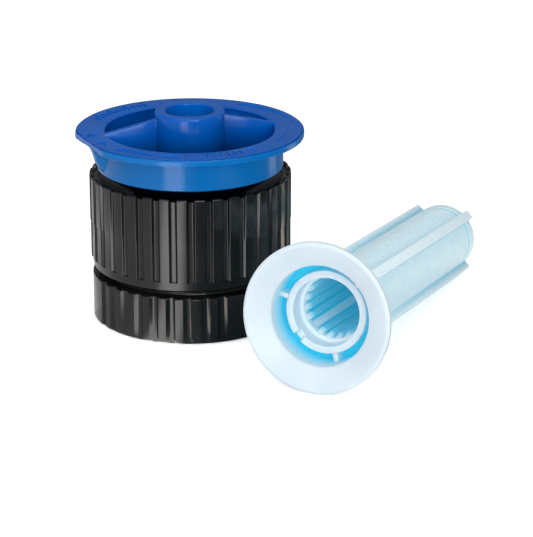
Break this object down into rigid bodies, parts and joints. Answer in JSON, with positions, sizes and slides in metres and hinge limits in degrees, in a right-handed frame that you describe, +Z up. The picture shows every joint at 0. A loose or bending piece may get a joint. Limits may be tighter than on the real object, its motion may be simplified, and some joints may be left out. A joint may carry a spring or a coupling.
{
  "type": "variable-arc spray nozzle",
  "caption": "Adjustable-arc spray nozzle for a pop-up riser: ribbed arc collar, domed-bowl deflector with radius screw, threaded base, and a finned basket filter screen beside it.",
  "frame": {"origin": "centre of the nozzle base's bottom face, on the axis of the riser thread", "axes": "+Z up along the nozzle's axis, towards the deflector. +X to the right and -Y towards the viewer, with the screen lying at the front right"},
  "size_m": [0.0416, 0.0399, 0.0215],
  "materials": {
    "base_black": "satin",
    "insert_black": "satin",
    "collar_black": "satin",
    "seal_rubber": "matte",
    "deflector_blue": "gloss",
    "screw_steel": "brushed",
    "clip_steel": "brushed",
    "plug_white": "satin",
    "screen_blue": "satin"
  },
  "bodies": {
    "base": {"nozzle_base": "base_black", "hub_insert": "insert_black", "deflector": "deflector_blue", "screw_seal": "seal_rubber"},
    "collar_carrier": {"collar_seal": "seal_rubber"},
    "collar": {"arc_collar": "collar_black"},
    "screw": {"radius_screw": "screw_steel", "screw_clip": "clip_steel"},
    "throttle": {"throttle_plug": "plug_white"},
    "screen": {"filter_screen": "screen_blue"}
  },
  "joints": [
    {"name": "arc_lift", "type": "slide", "parent": "base", "child": "collar_carrier", "axis": [0, 0, 1], "range_m": [-0.0005, 0]},
    {"name": "arc_adjust", "type": "hinge", "parent": "collar_carrier", "child": "collar", "pos_m": [0, 0, 0.01], "axis": [0, 0, 1], "range_deg": [0, 360]},
    {"name": "radius_adjust", "type": "hinge", "parent": "base", "child": "screw", "pos_m": [0, 0, 0.0195], "axis": [0, 0, -1], "range_deg": [0, 1800]},
    {"name": "throttle_travel", "type": "slide", "parent": "base", "child": "throttle", "axis": [0, 0, 1], "range_m": [-0.0025, 0]},
    {"name": "screen_clear", "type": "slide", "parent": "base", "child": "screen", "axis": [1, 0, 0], "range_m": [0, 0.03]}
  ],
  "couplings": [
    {"joint": "arc_lift", "follows": "arc_adjust", "m_per_rad": -0.00007957},
    {"joint": "throttle_travel", "follows": "radius_adjust", "m_per_rad": -0.00007957}
  ]
}
